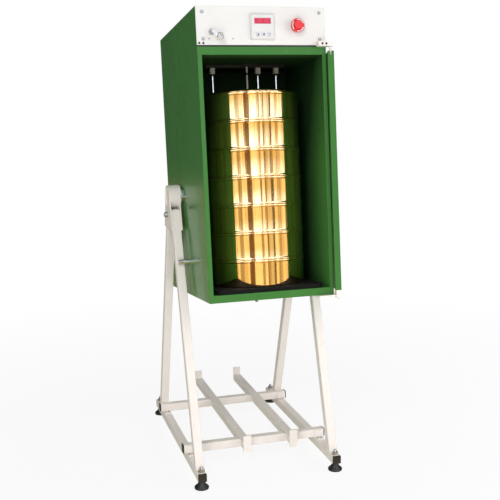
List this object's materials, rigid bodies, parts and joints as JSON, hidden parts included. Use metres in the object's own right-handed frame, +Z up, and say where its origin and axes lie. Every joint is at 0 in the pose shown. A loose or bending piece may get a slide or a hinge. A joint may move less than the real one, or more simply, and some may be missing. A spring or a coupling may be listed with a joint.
{
  "type": "sieve shaker",
  "caption": "Floor-standing sieve shaker: a tall cabinet on trunnions between A-frames, with a stack of round sieves, a side-hung door and a control panel.",
  "frame": {"origin": "on the floor, at the middle of the outline seen from above, with the door folded back", "axes": "+X to the machine's right as its front is faced, +Y to its back, +Z up; the cabinet leans back about X"},
  "size_m": [0.5708, 0.8946, 1.4279],
  "materials": {
    "stand_white": "satin",
    "bush_bronze": "machined",
    "bright_steel": "polished",
    "black_plastic": "matte",
    "foot_rubber": "matte",
    "green_lacquer": "gloss lacquer",
    "green_steel": "gloss",
    "panel_white": "satin",
    "steel_dark": "satin",
    "window_red": "gloss",
    "fitting_grey": "matte",
    "stop_red": "gloss",
    "key_white": "matte",
    "motor_grey": "cast",
    "rotor_steel": "turned",
    "sieve_brass": "polished",
    "cloth_brass": "woven"
  },
  "bodies": {
    "stand": {"left_rail": "stand_white", "right_rail": "stand_white", "left_legs": "stand_white", "right_legs": "stand_white", "left_trunnion_bracket": "stand_white", "right_trunnion_bracket": "stand_white", "front_cross_tube": "stand_white", "rear_cross_tube": "stand_white", "carrier_bars": "stand_white", "trunnion_bushes": "bush_bronze", "clamp_bolts": "bright_steel", "tube_plugs": "black_plastic", "angle_clips": "stand_white", "stand_fasteners": "bright_steel"},
    "cabinet": {"left_side_panel": "green_lacquer", "right_side_panel": "green_lacquer", "floor_panel": "green_lacquer", "ceiling_panel": "green_lacquer", "top_panel": "green_lacquer", "bulkhead": "green_lacquer", "rear_cover": "green_steel", "power_inlet": "black_plastic", "control_panel": "panel_white", "cabinet_screws": "bright_steel", "trunnion_pins": "bright_steel", "stop_pins": "bright_steel", "timer_case": "panel_white", "timer_window": "window_red", "panel_fittings": "fitting_grey", "top_hinge_bar": "panel_white", "bottom_hinge_bracket": "steel_dark", "base_platen": "steel_dark", "rod_rail": "steel_dark", "motor_housing": "motor_grey", "sieve_pan": "sieve_brass", "sieve_1": "sieve_brass", "sieve_2": "sieve_brass", "sieve_3": "sieve_brass", "sieve_4": "sieve_brass", "sieve_5": "sieve_brass", "sieve_6": "sieve_brass", "sieve_cloths": "cloth_brass", "sieve_lid": "sieve_brass"},
    "door": {"door_shell": "green_steel", "door_liner": "green_steel", "door_handle": "steel_dark"},
    "rotor": {"motor_rotor": "rotor_steel"},
    "estop_stem": {"estop_stem": "fitting_grey"},
    "estop_cap": {"estop_cap": "stop_red"},
    "selector": {"selector_handle": "bright_steel"},
    "left_rod": {"left_hold_down_rod": "bright_steel"},
    "left_key": {"left_timer_key": "key_white"},
    "middle_rod": {"middle_hold_down_rod": "bright_steel"},
    "middle_key": {"middle_timer_key": "key_white"},
    "right_rod": {"right_hold_down_rod": "bright_steel"},
    "right_key": {"right_timer_key": "key_white"},
    "front_left_foot": {"front_left_foot": "foot_rubber"},
    "front_right_foot": {"front_right_foot": "foot_rubber"},
    "rear_left_foot": {"rear_left_foot": "foot_rubber"},
    "rear_right_foot": {"rear_right_foot": "foot_rubber"}
  },
  "joints": [
    {"name": "cabinet_tilt", "type": "hinge", "parent": "stand", "child": "cabinet", "pos_m": [-0.03389, -0.06367, 0.87], "axis": [-1, 0, 0], "range_deg": [0, 45]},
    {"name": "door_swing", "type": "hinge", "parent": "cabinet", "child": "door", "pos_m": [0.16761, -0.43612, 0.60729], "axis": [0, -0.1011, -0.9949], "range_deg": [0, 254]},
    {"name": "left_rod_slide", "type": "slide", "parent": "cabinet", "child": "left_rod", "axis": [0, 0.1011, 0.9949], "range_m": [0, 0.05]},
    {"name": "middle_rod_slide", "type": "slide", "parent": "cabinet", "child": "middle_rod", "axis": [0, 0.1011, 0.9949], "range_m": [0, 0.05]},
    {"name": "right_rod_slide", "type": "slide", "parent": "cabinet", "child": "right_rod", "axis": [0, 0.1011, 0.9949], "range_m": [0, 0.05]},
    {"name": "left_key_press", "type": "slide", "parent": "cabinet", "child": "left_key", "axis": [0, 0.9949, -0.1011], "range_m": [0, 0.0012], "stiffness_N_per_m": 300},
    {"name": "middle_key_press", "type": "slide", "parent": "cabinet", "child": "middle_key", "axis": [0, 0.9949, -0.1011], "range_m": [0, 0.0012], "stiffness_N_per_m": 300},
    {"name": "right_key_press", "type": "slide", "parent": "cabinet", "child": "right_key", "axis": [0, 0.9949, -0.1011], "range_m": [0, 0.0012], "stiffness_N_per_m": 300},
    {"name": "estop_press", "type": "slide", "parent": "cabinet", "child": "estop_stem", "axis": [0, 0.9949, -0.1011], "range_m": [0, 0.004], "stiffness_N_per_m": 600},
    {"name": "estop_twist", "type": "hinge", "parent": "estop_stem", "child": "estop_cap", "pos_m": [0.06711, -0.36229, 1.37376], "axis": [0, -0.9949, 0.1011], "range_deg": [-30, 0], "stiffness_Nm_per_rad": 0.05},
    {"name": "selector_turn", "type": "hinge", "parent": "cabinet", "child": "selector", "pos_m": [-0.18289, -0.34799, 1.35622], "axis": [0, -0.9949, 0.1011], "range_deg": [0, 90]},
    {"name": "motor_spin", "type": "hinge", "parent": "cabinet", "child": "rotor", "pos_m": [-0.03389, 0.0467, 0.81858], "axis": [1, 0, 0], "continuous": true},
    {"name": "front_left_foot_level", "type": "slide", "parent": "stand", "child": "front_left_foot", "axis": [0, 0, 1], "range_m": [-0.018, 0]},
    {"name": "front_right_foot_level", "type": "slide", "parent": "stand", "child": "front_right_foot", "axis": [0, 0, 1], "range_m": [-0.018, 0]},
    {"name": "rear_left_foot_level", "type": "slide", "parent": "stand", "child": "rear_left_foot", "axis": [0, 0, 1], "range_m": [-0.018, 0]},
    {"name": "rear_right_foot_level", "type": "slide", "parent": "stand", "child": "rear_right_foot", "axis": [0, 0, 1], "range_m": [-0.018, 0]}
  ]
}
